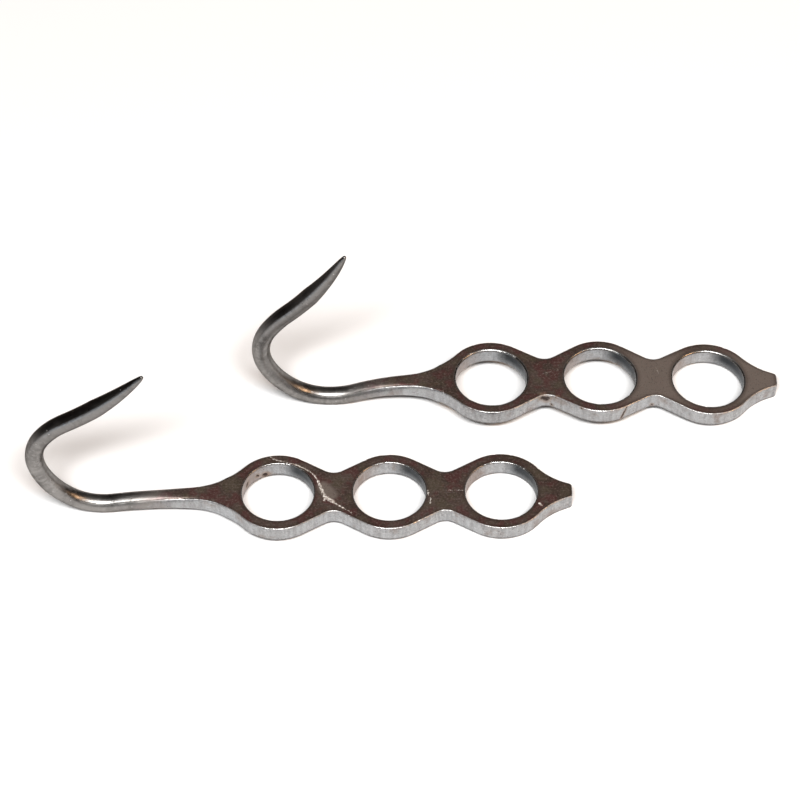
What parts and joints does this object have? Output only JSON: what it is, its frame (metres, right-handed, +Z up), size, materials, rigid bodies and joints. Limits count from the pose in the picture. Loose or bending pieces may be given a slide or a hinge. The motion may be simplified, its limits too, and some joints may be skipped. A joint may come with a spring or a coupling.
{
  "type": "finger-ring hook pair",
  "caption": "Pair of steel finger-ring hooks: a flat grip of finger rings in a row, whose shank becomes a round rod that curls up into a sharp ground point.",
  "frame": {"origin": "centre of the pair's footprint, on the surface that the hooks lie on", "axes": "+X along the hooks towards the blunt tails, +Y from the front hook to the rear hook, +Z up from the surface"},
  "size_m": [0.2238, 0.0693, 0.065],
  "materials": {
    "forged_steel": "worn satin steel, bright on rubbed edges, with scratches and small pits"
  },
  "bodies": {
    "front_hook": {"front_hook": "forged_steel"},
    "rear_hook": {"rear_hook": "forged_steel"}
  },
  "joints": [
    {"name": "rear_hook_lift", "type": "slide", "parent": "front_hook", "child": "rear_hook", "axis": [0, 0, 1], "range_m": [0, 0.1]}
  ]
}
